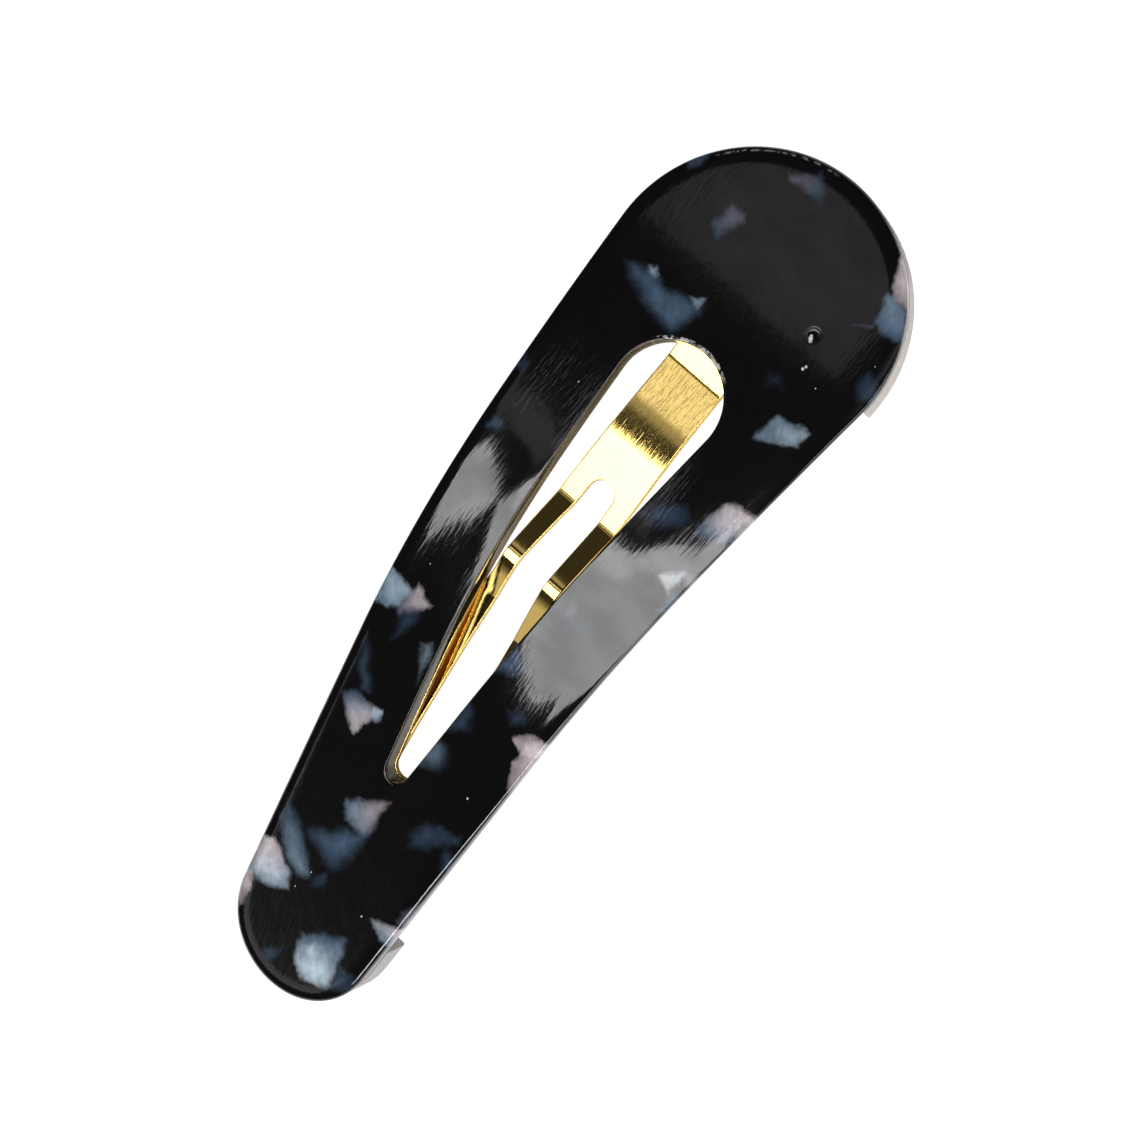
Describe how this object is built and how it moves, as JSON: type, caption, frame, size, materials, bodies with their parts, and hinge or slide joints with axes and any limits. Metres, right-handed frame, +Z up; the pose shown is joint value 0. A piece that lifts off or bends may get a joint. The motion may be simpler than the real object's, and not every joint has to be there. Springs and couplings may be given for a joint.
{
  "type": "snap hair clip",
  "caption": "Teardrop snap hair clip: a bent, marbled acetate plate with a long opening over a gold sprung frame with a slotted tongue.",
  "frame": {"origin": "on the surface that the clip rests on, below the centre of its bounding box", "axes": "+X along the clip toward its wide head, +Y across it, +Z up"},
  "size_m": [0.088, 0.027, 0.0135],
  "materials": {
    "black_acetate": "polished, with pale blue and pink pearl flakes",
    "grey_acetate": "satin",
    "gold_steel": "gold plated, brushed along its length"
  },
  "bodies": {
    "clip": {"top_plate": "black_acetate", "head_pad": "grey_acetate", "tail_pad": "grey_acetate", "frame": "gold_steel"},
    "tongue": {"tongue": "gold_steel"}
  },
  "joints": [
    {"name": "tongue_bend", "type": "hinge", "parent": "clip", "child": "tongue", "pos_m": [0.02699, 0, 0.00719], "axis": [0, -1, 0], "range_deg": [0, 25]}
  ]
}
